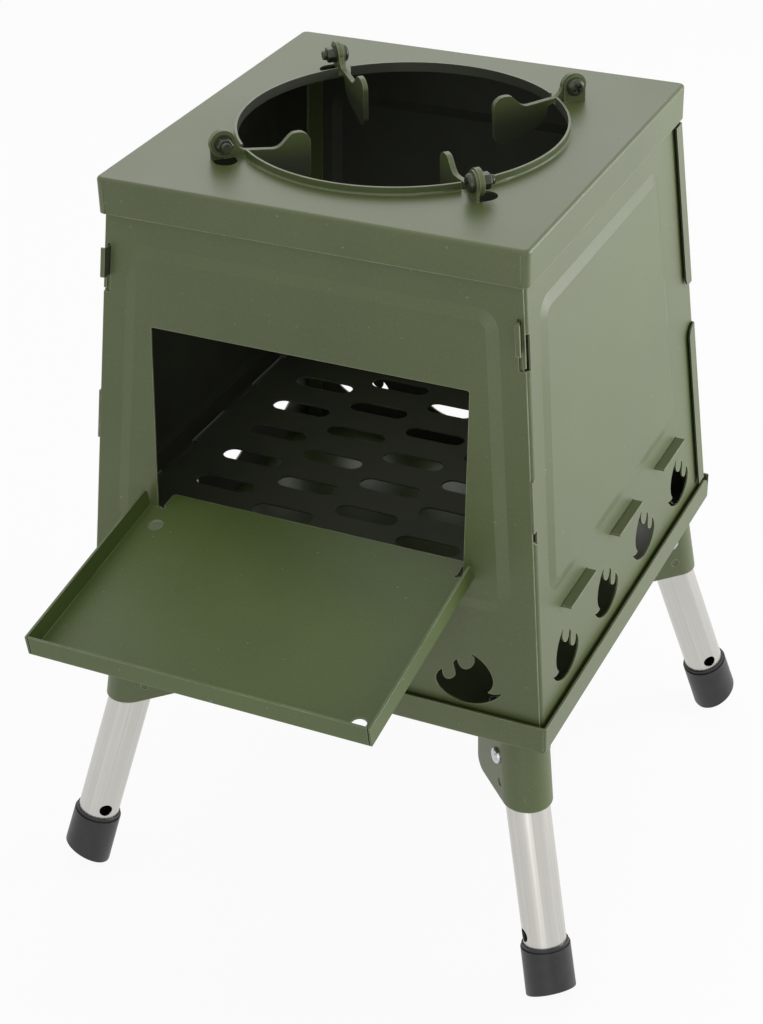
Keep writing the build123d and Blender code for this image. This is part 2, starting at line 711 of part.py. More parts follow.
def support_screw(angle):
    """Pan head screw with a cross recess."""
    head_plane = pivot_plane(angle, EAR_T)
    with BuildPart() as screw:
        with BuildSketch(head_plane):
            Circle(SCREW_HEAD / 2)
        extrude(amount=SCREW_HEAD_THICK)
        crown = screw.faces().sort_by(lambda f: head_plane.to_local_coords(f.center()).Z)[-1]
        fillet(crown.edges(), SCREW_HEAD_ROUND)
        with BuildSketch(head_plane.offset(SCREW_HEAD_THICK)):
            Rectangle(RECESS_SPAN, RECESS_WIDTH, rotation=RECESS_TURN)
            Rectangle(RECESS_WIDTH, RECESS_SPAN, rotation=RECESS_TURN)
        extrude(amount=-RECESS_DEPTH, mode=Mode.SUBTRACT)
        with BuildSketch(head_plane):
            Circle(SCREW / 2)
        extrude(amount=-(nut_t + NUT_THICK + SCREW_TAIL - EAR_T))
    return screw.part


def support_nut(angle):
    """Hexagon nut, chamfered on its outer face."""
    seat = pivot_plane(angle, nut_t)
    with BuildPart() as nut:
        with BuildSketch(seat):
            RegularPolygon(NUT_FLATS / 2, 6, major_radius=False)
        extrude(amount=-NUT_THICK)
        outer = nut.faces().sort_by(lambda f: seat.to_local_coords(f.center()).Z)[0]
        chamfer(outer.edges(), NUT_CHAMFER)
        with BuildSketch(seat):
            Circle(SCREW / 2)
        extrude(amount=-NUT_THICK, mode=Mode.SUBTRACT)
    return nut.part


with BuildPart() as support_screws:
    for angle in CORNER_NAMES.values():
        add(support_screw(angle))
save(support_screws, "support_screws")

with BuildPart() as support_washers:
    for angle in CORNER_NAMES.values():
        with BuildSketch(pivot_plane(angle, washer_t)) as ring:
            Circle(WASHER / 2)
            Circle(SCREW / 2, mode=Mode.SUBTRACT)
        extrude(ring.sketch, amount=-WASHER_THICK)
save(support_washers, "support_washers")

with BuildPart() as support_nuts:
    for angle in CORNER_NAMES.values():
        add(support_nut(angle))
save(support_nuts, "support_nuts")

# Fuel tray: folded sheet with three rims. Its tongue lies on the door's sill
# and ends in a lip that hooks behind the front wall, while the ends of the
# rims bear on the wall's raised frame.
tilt = radians(TRAY_TILT)
shoulder = half(TRAY_Z - TRAY_SHEET) + FIELD_RISE / cos(lean) + TRAY_SHEET * sin(tilt)
tray_y = -shoulder - TRAY_PLAY
tray_floor = Plane(
    origin=(0, tray_y, floor_to_pan + TRAY_Z),
    x_dir=(1, 0, 0),
    z_dir=(0, -sin(tilt), cos(tilt)),
)
tray_side = Plane(origin=tray_floor.origin, x_dir=tray_floor.y_dir, z_dir=(1, 0, 0))
rim_high = TRAY_RIM - TRAY_SHEET
lip_low_z = TRAY_Z - LIP_DROP
lip_world_y = -(half(lip_low_z) + (FIELD_RISE - WALL) / cos(lean)) + TRAY_PLAY
lip_in = lip_world_y - tray_y
lip_foot = (
    lip_in * cos(tilt) - LIP_DROP * sin(tilt),
    -lip_in * sin(tilt) - LIP_DROP * cos(tilt),
)
lip_points = [
    (TONGUE_LENGTH, -TRAY_SHEET / 2),
    (TONGUE_LENGTH, -TRAY_SHEET - LIP_THICK / 2),
    (lip_foot[0] + LIP_THICK, lip_foot[1]),
    lip_foot,
    (TONGUE_LENGTH - 2 * LIP_THICK, -TRAY_SHEET),
    (TONGUE_LENGTH - 2 * LIP_THICK, -TRAY_SHEET / 2),
]
with BuildPart() as feed_tray:
    with BuildSketch(tray_floor):
        with Locations((0, -TRAY_LENGTH / 2)):
            Rectangle(2 * TRAY_HALF, TRAY_LENGTH)
    extrude(amount=-TRAY_SHEET)
    with BuildSketch(tray_floor.offset(-TRAY_SHEET)):
        with Locations((0, -TRAY_LENGTH / 2)):
            Rectangle(2 * TRAY_HALF, TRAY_LENGTH)
            with Locations((0, TRAY_SHEET)):
                Rectangle(2 * (TRAY_HALF - TRAY_SHEET), TRAY_LENGTH, mode=Mode.SUBTRACT)
    extrude(amount=TRAY_RIM)
    bottom = feed_tray.edges().filter_by(
        lambda e: abs(tray_floor.to_local_coords(e.center()).Z + TRAY_SHEET) < 0.01
        and tray_floor.to_local_coords(e.center()).Y < -1
    )
    fillet(bottom, TRAY_BEND)
    with BuildSketch(tray_floor):
        with Locations((0, TONGUE_LENGTH / 2 - TRAY_SHEET)):
            Rectangle(2 * TONGUE_HALF, TONGUE_LENGTH + 2 * TRAY_SHEET)
    extrude(amount=-TRAY_SHEET)
    lip = outline(tray_side, lip_points)
    extrude(lip, amount=LIP_HALF, both=True)
    ends = feed_tray.edges().filter_by(
        lambda e: abs(tray_floor.to_local_coords(e.center()).Y - TONGUE_LENGTH) < 0.01
        and abs(abs(e.center().X) - TONGUE_HALF) < 0.01
    )
    chamfer(ends, TONGUE_CHAMFER)
    rear_round = round_off(tray_side, 0, rim_high, TRAY_END_ROUND, 1, 1)
    extrude(rear_round, amount=TRAY_HALF + TRAY_SHEET, both=True, mode=Mode.SUBTRACT)
    with BuildSketch(tray_floor.offset(rim_high)):
        seam_x = TRAY_HALF - TRAY_SHEET - TRAY_SEAM / 2
        with Locations((-seam_x, -TRAY_LENGTH), (seam_x, -TRAY_LENGTH)):
            Rectangle(TRAY_SEAM, 2 * TRAY_SHEET)
    extrude(amount=-rim_high, mode=Mode.SUBTRACT)
    with BuildSketch(tray_floor):
        hole_x = TRAY_HALF - TRAY_HOLE_INSET
        with Locations(
            (hole_x, -TRAY_LENGTH + TRAY_HOLE_FRONT),
            (-hole_x, -TRAY_HOLE_BACK),
        ):
            Circle(TRAY_HOLE / 2)
        with Locations((-TONGUE_HALF, 0), (TONGUE_HALF, 0)):
            Circle(TRAY_SHEET)
    extrude(amount=-TRAY_SHEET, mode=Mode.SUBTRACT)
save(feed_tray, "feed_tray")

# Legs. Each stands on a corner diagonal: a channel bracket is riveted under
# the pan, the tube turns inward on a pin through the bracket's cheeks, and a
# rubber cap covers the foot. At rest the tube leans on the bracket's back and
# the cap stands on the flattened tip of its sole.
back_lean = radians(BRACKET_BACK_LEAN)
tube_r = LEG_TUBE / 2
cheek_t = tube_r + BRACKET_SIDE_ROOM
pivot_z = floor_to_pan - LEG_PIVOT_DROP
back_low_r = (
    LEG_PIVOT_R
    + (BRACKET_DROP - LEG_PIVOT_DROP) * tan(splay)
    + tube_r / cos(splay)
    + BRACKET_BACK_ROOM
)
back_top_r = back_low_r - BRACKET_DROP * tan(back_lean)
bracket_inner_r = LEG_PIVOT_R - BRACKET_INWARD
cap_plan = LEG_SOLE - CAP_LENGTH


def slanted_plane(angle, r, z, tip):
    """Plane across a tube or channel tipped outward by tip radians; z points up it."""
    a = radians(angle)
    return Plane(
        origin=(r * cos(a), r * sin(a), z),
        x_dir=(cos(tip) * cos(a), cos(tip) * sin(a), sin(tip)),
        z_dir=(-sin(tip) * cos(a), -sin(tip) * sin(a), cos(tip)),
    )


def channel(plane, radius):
    """U-shaped section, round at the back and open towards the stove's axis."""
    with BuildSketch(plane) as shape:
        Circle(radius)
        with Locations((-BRACKET_DROP, 0)):
            Rectangle(2 * BRACKET_DROP, 2 * radius)
    return shape.sketch


def channel_room(plane):
    """Space inside a bracket, below its top plate."""
    with BuildPart() as room:
        extrude(channel(plane, cheek_t), amount=2 * BRACKET_DROP, both=True)
        with BuildSketch(Plane.XY.offset(floor_to_pan - BRACKET_SHEET)):
            Circle(BODY_FOOT)
        extrude(amount=-2 * BRACKET_DROP, mode=Mode.INTERSECT)
    return room.part


def domed_pin(plane, length, shank, head, head_thick, head_round):
    """Rivet along a plane's normal with a domed head beyond each end."""
    with BuildPart() as pin:
        with BuildSketch(plane.offset(-length / 2 - head_thick)):
            Circle(head / 2)
        extrude(amount=length + 2 * head_thick)
        ends = pin.faces().filter_by(GeomType.PLANE)
        fillet(ends.edges(), head_round)
        with BuildSketch(plane):
            Circle(head)
            Circle(shank / 2, mode=Mode.SUBTRACT)
        extrude(amount=length / 2, both=True, mode=Mode.SUBTRACT)
    return pin.part


for name, angle in CORNER_NAMES.items():
    back_axis = slanted_plane(
        angle, back_top_r - cheek_t / cos(back_lean), floor_to_pan, back_lean
    )
    with BuildPart() as bracket:
        extrude(channel(back_axis, cheek_t + BRACKET_SHEET), amount=2 * BRACKET_DROP, both=True)
        cheek = outline(
            radial_plane(angle, 0, floor_to_pan),
            [
                (bracket_inner_r, 0),
                (back_low_r + LEG_TUBE, 0),
                (back_low_r + LEG_TUBE, -BRACKET_DROP),
                (bracket_inner_r, -BRACKET_DROP),
            ],
        )
        extrude(cheek, amount=LEG_TUBE, both=True, mode=Mode.INTERSECT)
        add(channel_room(back_axis), mode=Mode.SUBTRACT)
        low_corner = round_off(
            radial_plane(angle, 0, floor_to_pan),
            bracket_inner_r, -BRACKET_DROP, BRACKET_ROUND, -1, -1,
        )
        extrude(low_corner, amount=LEG_TUBE, both=True, mode=Mode.SUBTRACT)
        with BuildSketch(radial_plane(angle, 0, pivot_z)) as pin_hole:
            with Locations((LEG_PIVOT_R, 0)):
                Circle(RIVET / 2)
        extrude(pin_hole.sketch, amount=LEG_TUBE, both=True, mode=Mode.SUBTRACT)
        for end in (-1, 1):
            out_t = end * (cheek_t + BRACKET_SHEET)
            with BuildSketch(radial_plane(angle, out_t, floor_to_pan)) as dimple:
                with Locations((LEG_PIVOT_R + BRACKET_DIMPLE_OUTWARD, -BRACKET_DIMPLE_DROP)):
                    Circle(BRACKET_DIMPLE / 2)
            extrude(dimple.sketch, amount=end * BRACKET_DIMPLE_DEPTH, mode=Mode.SUBTRACT)
        with BuildSketch(corner_plane(angle)) as rivet_holes:
            with Locations(*pan_rivet_places):
                Circle(PAN_RIVET / 2)
        extrude(rivet_holes.sketch, amount=-BRACKET_SHEET, mode=Mode.SUBTRACT)
    save(bracket, f"leg_bracket_{name}")

    tube_plane = slanted_plane(angle, LEG_PIVOT_R, pivot_z, splay)
    with BuildPart() as leg:
        with BuildSketch(tube_plane.offset(LEG_ABOVE_PIVOT)):
            Circle(tube_r)
            Circle(tube_r - LEG_WALL, mode=Mode.SUBTRACT)
        extrude(amount=-(LEG_ABOVE_PIVOT + LEG_SOLE - CAP_SOLE_THICK))
        cross = -(cap_plan - LEG_CROSS_HOLE_UP - LEG_CROSS_HOLE / 2)
        side_of_tube = Plane(
            origin=tube_plane.origin, x_dir=tube_plane.x_dir, z_dir=-tube_plane.y_dir
        )
        with BuildSketch(side_of_tube) as tube_holes:
            Circle(RIVET / 2 + RIVET_FIT)
            with Locations((0, cross)):
                Circle(LEG_CROSS_HOLE / 2)
        extrude(tube_holes.sketch, amount=LEG_TUBE, both=True, mode=Mode.SUBTRACT)
    save(leg, f"leg_{name}")

    with BuildPart() as cap:
        with BuildSketch(side_of_tube):
            with BuildLine():
                Polyline(
                    (0, -longest_side),
                    (CAP_BOTTOM / 2, -longest_side),
                    (CAP_TOP / 2, -cap_plan - CAP_LIP_HEIGHT),
                    (CAP_LIP / 2, -cap_plan - CAP_LIP_HEIGHT),
                    (CAP_LIP / 2, -cap_plan),
                    (tube_r + CAP_PRESS, -cap_plan),
                    (tube_r + CAP_PRESS, -LEG_SOLE + CAP_SOLE_THICK),
                    (0, -LEG_SOLE + CAP_SOLE_THICK),
                    close=True,
                )
            make_face()
        revolve(axis=Axis(tube_plane.origin, tube_plane.z_dir))
        below_sole = outline(
            side_of_tube,
            [
                (-CAP_BOTTOM, -LEG_SOLE - CAP_BOTTOM * sole_slope),
                (CAP_BOTTOM, -LEG_SOLE + CAP_BOTTOM * sole_slope),
                (CAP_BOTTOM, -longest_side - CAP_BOTTOM),
                (-CAP_BOTTOM, -longest_side - CAP_BOTTOM),
            ],
        )
        extrude(below_sole, amount=CAP_BOTTOM, both=True, mode=Mode.SUBTRACT)
        sole = cap.faces().sort_by(lambda f: tube_plane.to_local_coords(f.center()).Z)[0]
        fillet(sole.edges(), CAP_ROUND)
        with BuildSketch(Plane.XY):
            with Locations((LEG_PIVOT_R * cos(radians(angle)), LEG_PIVOT_R * sin(radians(angle)))):
                Circle(LEG_SOLE)
        extrude(amount=-LEG_TUBE, mode=Mode.SUBTRACT)
    save(cap, f"foot_cap_{name}")

    with BuildPart() as leg_rivet:
        add(domed_pin(
            side_of_tube,
            2 * (cheek_t + BRACKET_SHEET),
            RIVET,
            RIVET_HEAD,
            RIVET_HEAD_THICK,
            RIVET_HEAD_ROUND,
        ))
    save(leg_rivet, f"leg_rivet_{name}")

# Rivets that hold the brackets to the pan.
with BuildPart() as bracket_rivets:
    for angle in CORNER_NAMES.values():
        for r, t in pan_rivet_places:
            sheets_middle = Plane(
                origin=corner_plane(angle).from_local_coords((r, t, (PAN_SHEET - BRACKET_SHEET) / 2)),
                z_dir=(0, 0, 1),
            )
            add(domed_pin(
                sheets_middle,
                PAN_SHEET + BRACKET_SHEET,
                PAN_RIVET,
                PAN_RIVET_HEAD,
                PAN_RIVET_HEAD_THICK,
                PAN_RIVET_HEAD_ROUND,
            ))
save(bracket_rivets, "bracket_rivets")
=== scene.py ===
import math

import bpy
import numpy as np
from mathutils import Matrix, Vector


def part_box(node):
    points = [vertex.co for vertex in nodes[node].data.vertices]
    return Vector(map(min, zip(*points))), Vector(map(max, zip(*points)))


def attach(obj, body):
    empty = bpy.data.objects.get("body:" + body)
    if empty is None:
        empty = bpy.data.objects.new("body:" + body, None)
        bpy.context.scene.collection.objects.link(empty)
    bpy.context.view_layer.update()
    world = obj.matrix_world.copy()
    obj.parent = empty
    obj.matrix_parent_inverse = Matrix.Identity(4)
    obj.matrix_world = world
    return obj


# Folding tent wood stove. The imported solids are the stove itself; this script
# gives each of them its finish, adds the folded seams and screw threads that
# ride on them, and stands the stove in a white studio.
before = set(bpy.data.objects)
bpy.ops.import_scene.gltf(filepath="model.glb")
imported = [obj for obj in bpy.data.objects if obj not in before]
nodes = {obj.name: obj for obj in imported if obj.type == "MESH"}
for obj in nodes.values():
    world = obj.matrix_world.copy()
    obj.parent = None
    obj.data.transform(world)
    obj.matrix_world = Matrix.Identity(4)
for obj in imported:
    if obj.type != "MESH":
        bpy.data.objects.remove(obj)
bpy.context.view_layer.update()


# Base pan: a square tray pressed from steel sheet. Its front corners are folded
# shut, and like every sheet part it is powder coated olive after forming, so
# the coat is thin and pale along edges; the pale edges are also partly a
# painted highlight.
OLIVE_PALE = (85, 97, 54)
OLIVE_DEEP = (73, 85, 44)
OLIVE_WEAR_AND_HIGHLIGHT = (160, 166, 138)
# Dark olive painted as shade inside the stove, under the lid and down the blades.
PAINTED_SHADE_DARK = (44, 47, 34)
PAN_SEAM_RADIUS = 0.0005
PAN_SEAM_INSET = 0.0016
PAN_SEAM_START = 0.003
PAN_SEAM_END = 0.0006
SEAM_SINK = 0.0001
SEAM_SIDES = 12
SEAM_ROWS = 9


def paint_colour(red, green, blue):
    """Linear colour with its alpha, from values between 0 and 255 as a screen shows them."""
    shares = [v / 255 for v in (red, green, blue)]
    linear = [s / 12.92 if s <= 0.04045 else ((s + 0.055) / 1.055) ** 2.4 for s in shares]
    return (*linear, 1.0)


class Tone:
    """A value or colour that varies over a surface; arithmetic adds Math nodes."""

    def __init__(self, tree, socket):
        self.tree = tree
        self.socket = socket

    def _math(self, operation, first, second):
        return self.tree.node("ShaderNodeMath", {"operation": operation}, {0: first, 1: second})

    def __add__(self, other):
        return self._math("ADD", self, other)

    def __radd__(self, other):
        return self._math("ADD", other, self)

    def __sub__(self, other):
        return self._math("SUBTRACT", self, other)

    def __rsub__(self, other):
        return self._math("SUBTRACT", other, self)

    def __mul__(self, other):
        return self._math("MULTIPLY", self, other)

    def __rmul__(self, other):
        return self._math("MULTIPLY", other, self)

    def ramp(self, low, high, bottom=0.0, top=1.0):
        """Value moved from the range low..high to bottom..top, and kept inside it."""
        return self.tree.node(
            "ShaderNodeMapRange",
            {"clamp": True},
            {"Value": self, "From Min": low, "From Max": high, "To Min": bottom, "To Max": top},
        )


class ShaderTree:
    """The nodes of one material or of the room, added through one method."""

    def __init__(self, owner):
        owner.use_nodes = True
        self.tree = owner.node_tree

    def node(self, kind, settings, values, output=0):
        """Adds a node: its settings first, then the values or links of its sockets."""
        made = self.tree.nodes.new(kind)
        for key, value in settings.items():
            setattr(made, key, value)
        for key, value in values.items():
            self.join(value, made.inputs[key])
        return Tone(self, made.outputs[output])

    def join(self, value, socket):
        """Links a tone to a socket, or writes a plain number or colour on it."""
        if isinstance(value, Tone):
            self.tree.links.new(value.socket, socket)
        else:
            socket.default_value = value


class Finish(ShaderTree):
    """One procedural surface finish on a Principled shader."""

    def __init__(self, name, constants):
        self.material = bpy.data.materials.new(name)
        super().__init__(self.material)
        self.shader = self.tree.nodes["Principled BSDF"]
        for socket, value in constants.items():
            self.shader.inputs[socket].default_value = value

    def place(self, turn=(0.0, 0.0, 0.0)):
        """Object coordinates, turned about the origin."""
        spot = self.node("ShaderNodeTexCoord", {}, {}, "Object")
        return self.node("ShaderNodeMapping", {}, {"Vector": spot, "Rotation": turn})

    def noise(self, scale, detail=2.0, roughness=0.5, where=None):
        """Noise of about scale bumps to the metre."""
        return self.node(
            "ShaderNodeTexNoise",
            {},
            {
                "Vector": where or self.place(),
                "Scale": scale,
                "Detail": detail,
                "Roughness": roughness,
            },
        )

    def vector(self, operation, first, second, output=0):
        """One Vector Math step."""
        return self.node(
            "ShaderNodeVectorMath", {"operation": operation}, {0: first, 1: second}, output
        )

    def facing(self, direction):
        """1 where the surface faces the direction, 0 where it is square to it."""
        normal = self.node("ShaderNodeNewGeometry", {}, {}, "Normal")
        return self.vector("DOT_PRODUCT", normal, direction, "Value").ramp(0.6, 0.85)

    def height(self):
        """Height above the floor, in metres, while the stove stands at rest."""
        return self.vector("DOT_PRODUCT", self.place(), (0.0, 0.0, 1.0), "Value")

    def blend(self, amount, first, second):
        """Colour mixed from first to second by amount; each is a tone or screen values."""
        first, second = (
            c if isinstance(c, Tone) else paint_colour(*c) for c in (first, second)
        )
        return self.node(
            "ShaderNodeMix",
            {"data_type": "RGBA"},
            {"Factor": amount, "A": first, "B": second},
            "Result",
        )

    def edges(self, radius):
        """1 on edges sharper than the radius, 0 on flats, from the bevelled normal."""
        soft = self.node("ShaderNodeBevel", {"samples": 4}, {"Radius": radius})
        flat = self.node("ShaderNodeNewGeometry", {}, {}, "Normal")
        return self.vector("DOT_PRODUCT", soft, flat, "Value").ramp(0.985, 0.84)

    def bump(self, height, strength, depth):
        """Feeds the shader's normal from a height tone."""
        self.feed(Normal=self.node(
            "ShaderNodeBump", {}, {"Height": height, "Strength": strength, "Distance": depth}
        ))

    def feed(self, **tones):
        """Links tones to the shader's own sockets, named with underscores."""
        for name, tone in tones.items():
            self.join(tone, self.shader.inputs[name.replace("_", " ")])


def powder_coat(name, painted_shade=None, gloss=0.4, shades=(OLIVE_DEEP, OLIVE_PALE)):
    """Orange-peel coat: clouded olive, pale edges that are partly rubbed thin coat and partly
    painted highlight, fine bumps and a few specks.

    Its second argument takes the coat and gives the share of painted shade at each point, 0 to 1.
    """
    coat = Finish(name, {"Specular IOR Level": 0.65})
    cloud = coat.noise(7.0, 3.0, 0.55)
    grain = coat.noise(900.0, 2.0, 0.6)
    colour = coat.blend(cloud.ramp(0.3, 0.7), *shades)
    speck = coat.noise(420.0, 1.0, 0.4).ramp(0.76, 0.82, 0.0, 0.4)
    colour = coat.blend(speck + grain.ramp(0.5, 0.8, 0.0, 0.08), colour, OLIVE_WEAR_AND_HIGHLIGHT)
    # Pale edges: partly thin, rubbed coat and partly a painted highlight.
    wear_and_highlight = coat.noise(55.0, 3.0, 0.6).ramp(0.32, 0.6, 0.25, 0.85)
    colour = coat.blend(coat.edges(0.0009) * wear_and_highlight, colour, OLIVE_WEAR_AND_HIGHLIGHT)
    rough = cloud.ramp(0.3, 0.7, gloss - 0.04, gloss + 0.04) + grain * 0.05
    # Painted shade: a dark olive blended in by the given share, mottled by a noise.
    if painted_shade:
        shade_share = painted_shade(coat)
        shade_mottle = coat.noise(38.0, 4.0, 0.6).ramp(0.25, 0.6, 0.86, 1.0)
        colour = coat.blend(shade_share * shade_mottle, colour, PAINTED_SHADE_DARK)
        rough = rough + shade_share * 0.2
    coat.feed(Base_Color=colour, Roughness=rough)
    peel = coat.noise(1300.0, 1.0, 0.5) * 0.6 + coat.noise(450.0, 2.0, 0.5)
    coat.bump(peel, 0.3, 0.00006)
    return coat


def paint(finish, *names):
    """Gives a finish to CAD nodes, in every material slot they have."""
    for name in names:
        for slot in nodes[name].material_slots:
            slot.link = "OBJECT"
            slot.material = finish.material


def closed_skin(name, grid, body, finish):
    """Piece from a grid of points that closes round its second axis; quads join
    neighbouring rows and a flat face closes each end. It rides a body at once.
    """
    rows, around = grid.shape[:2]
    index = np.arange(rows * around).reshape(rows, around)
    after = np.roll(index, -1, axis=1)
    quads = np.stack([index[:-1], after[:-1], after[1:], index[1:]], axis=-1).reshape(-1, 4)
    faces = quads.tolist() + [index[0][::-1].tolist(), index[-1].tolist()]
    mesh = bpy.data.meshes.new(name)
    mesh.from_pydata(grid.reshape(-1, 3).tolist(), [], faces)
    mesh.polygons.foreach_set("use_smooth", np.array([True] * len(quads) + [False, False]))
    mesh.materials.append(finish.material)
    piece = bpy.data.objects.new(name, mesh)
    bpy.context.scene.collection.objects.link(piece)
    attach(piece, body)


def seam_grid(x, y, low, high, radius):
    """Round upright seam: at turn u and height z the surface stands at x less
    radius times sin u, and y plus radius times cos u, from low to high.
    """
    u = np.linspace(0.0, 2 * np.pi, SEAM_SIDES, endpoint=False)[None, :]
    z = np.linspace(low, high, SEAM_ROWS)[:, None]
    return np.stack(
        np.broadcast_arrays(x - radius * np.sin(u), y + radius * np.cos(u), z), axis=-1
    )


pan_coat = powder_coat("olive_coat_pan")
paint(pan_coat, "base_pan")
pan_low, pan_high = (np.array(corner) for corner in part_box("base_pan"))
for side, letter in ((-1, "l"), (1, "r")):
    seam = seam_grid(
        side * (pan_high[0] - PAN_SEAM_INSET),
        pan_low[1] + SEAM_SINK,
        pan_low[2] + PAN_SEAM_START,
        pan_high[2] - PAN_SEAM_END,
        PAN_SEAM_RADIUS,
    )
    closed_skin(f"pan_corner_seam_{letter}", seam, "stove", pan_coat)


# Leg brackets: channels bent from thicker sheet, riveted under the pan and
# coated with it. The rivets and the legs' pivot pins are bright zinc plated.
ZINC_BRIGHT = (214, 217, 219)
ZINC_DULL = (150, 152, 150)
CORNERS = {"fr": -45.0, "br": 45.0, "bl": 135.0, "fl": 225.0}

paint(powder_coat("olive_coat_brackets"), *[f"leg_bracket_{k}" for k in CORNERS])
zinc = Finish("bright_zinc", {"Metallic": 1.0})
spangle = zinc.noise(500.0, 3.0, 0.6)
zinc.feed(
    Base_Color=zinc.blend(spangle.ramp(0.35, 0.65), ZINC_DULL, ZINC_BRIGHT),
    Roughness=spangle.ramp(0.3, 0.7, 0.2, 0.34),
)
zinc.bump(zinc.noise(1500.0, 2.0), 0.15, 0.00003)
paint(zinc, "bracket_rivets", *[f"leg_rivet_{k}" for k in CORNERS])


# Leg tubes: drawn aluminium, satin, with fine lines along the tube. Each leg
# leans outward on its corner's diagonal.
TUBE_LIGHT = (206, 204, 198)
TUBE_DARK = (188, 186, 180)
LEG_SPLAY = math.radians(18.8)


def tube_finish(key, angle):
    """Satin aluminium whose drawing lines run down one leg's own axis."""
    tube = Finish(f"satin_tube_{key}", {"Metallic": 1.0})
    turned = tube.place(turn=(0.0, 0.0, -math.radians(angle)))
    upright = tube.node(
        "ShaderNodeMapping", {}, {"Vector": turned, "Rotation": (0.0, LEG_SPLAY, 0.0)}
    )
    along = tube.vector("MULTIPLY", upright, (1.0, 1.0, 0.004))
    lines = tube.noise(1200.0, 2.0, 0.6, along)
    soft = tube.noise(30.0, 2.0)
    tube.feed(
        Base_Color=tube.blend(lines.ramp(0.35, 0.65) * 0.6 + soft * 0.3, TUBE_DARK, TUBE_LIGHT),
        Roughness=lines.ramp(0.3, 0.7, 0.28, 0.36),
    )
    tube.bump(lines, 0.05, 0.00001)
    return tube


for key, angle in CORNERS.items():
    paint(tube_finish(key, angle), f"leg_{key}")


# Foot caps: moulded black rubber pushed over the tubes, satin from the mould and
# a little dusty and scuffed on their edges.
RUBBER = (29, 29, 30)
RUBBER_DUST = (62, 61, 59)
rubber = Finish("black_rubber", {"Specular IOR Level": 0.5})
dust = rubber.noise(90.0, 4.0, 0.65)
scuff = rubber.edges(0.0007)
rubber.feed(
    Base_Color=rubber.blend(dust.ramp(0.45, 0.8, 0.0, 0.4) + scuff * 0.45, RUBBER, RUBBER_DUST),
    Roughness=dust.ramp(0.3, 0.7, 0.36, 0.5),
)
rubber.bump(rubber.noise(1100.0, 2.0), 0.2, 0.00005)
paint(rubber, *[f"foot_cap_{k}" for k in CORNERS])


# Walls: four leaning sheets with a pressed field each. They are olive outside
# and darkened with painted shade on the faces that look into the fire.
INTO_FIRE = {
    "front_panel": (0.0, 1.0, 0.0),
    "back_panel": (0.0, -1.0, 0.0),
    "left_panel": (1.0, 0.0, 0.0),
    "right_panel": (-1.0, 0.0, 0.0),
}
for name, inward in INTO_FIRE.items():
    # Painted shade on the faces that look into the stove.
    paint(powder_coat(f"olive_coat_{name}", lambda coat, way=inward: coat.facing(way)), name)


# Grate: a flat slotted plate between the side walls. Its coat is darkened with
# painted shade inside the walls, and its tabs stay unshaded where they pass out through the walls.
GRATE_SHADE_END = 0.1345
GRATE_UNSHADED_START = 0.1375


def grate_painted_shade(coat):
    """Painted shade inside the walls and none on the tabs outside them."""
    aside = coat.vector("ABSOLUTE", coat.place(), (0.0, 0.0, 0.0))
    reach = coat.vector("DOT_PRODUCT", aside, (1.0, 0.0, 0.0), "Value")
    inside = reach.ramp(GRATE_UNSHADED_START, GRATE_SHADE_END)
    return coat.noise(14.0, 3.0).ramp(0.2, 0.8, 0.8, 1.0) * inside


paint(powder_coat("painted_shade_grate", grate_painted_shade), "grate")


# Lid: a pressed square cap with a drawn collar round the pot hole. Its corners
# are folded, which leaves a fine seam, and painted shade darkens it underneath
# and inside the collar.
COLLAR_INSIDE = 0.0913
SKIRT_HEIGHT = 0.0204
LID_SEAM_RADIUS = 0.00045
LID_SEAM_INSET = 0.0042
LID_SEAM_START = 0.0004
LID_SEAM_END = 0.0022


def lid_painted_shade(coat):
    """Painted shade under the lid and on the collar's inner face."""
    flat = coat.vector("MULTIPLY", coat.place(), (1.0, 1.0, 0.0))
    out = coat.vector("NORMALIZE", flat, (0.0, 0.0, 0.0))
    normal = coat.node("ShaderNodeNewGeometry", {}, {}, "Normal")
    inward = coat.vector("DOT_PRODUCT", normal, out, "Value").ramp(-0.4, -0.8)
    near = coat.vector("LENGTH", flat, (0.0, 0.0, 0.0), "Value")
    return inward * near.ramp(COLLAR_INSIDE, COLLAR_INSIDE - 0.0003) + coat.facing(
        (0.0, 0.0, -1.0)
    )


lid_coat = powder_coat("olive_coat_lid", lid_painted_shade, 0.36)
paint(lid_coat, "lid")
lid_low, lid_high = (np.array(corner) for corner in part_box("lid"))
lid_top = lid_low[2] + SKIRT_HEIGHT
for key, side, end in (("fl", -1, -1), ("bl", -1, 1), ("fr", 1, -1), ("br", 1, 1)):
    seam = seam_grid(
        side * (lid_high[0] - LID_SEAM_INSET),
        end * (lid_high[1] - SEAM_SINK),
        lid_low[2] + LID_SEAM_START,
        lid_top - LID_SEAM_END,
        LID_SEAM_RADIUS,
    )
    closed_skin(f"lid_corner_seam_{key}", seam, "lid", lid_coat)


# Pot supports: plates cut from thick sheet that turn on the lid's ears. Their
# blades hang in the flames and are darkened with painted shade below the lid's top.
def blade_painted_shade(coat):
    """Painted shade that grows from the lid's top down the hanging blade."""
    return coat.height().ramp(lid_top + 0.004, lid_top - 0.008, 0.0, 0.85)


paint(powder_coat("olive_coat_supports", blade_painted_shade), *[f"pot_support_{k}" for k in CORNERS])


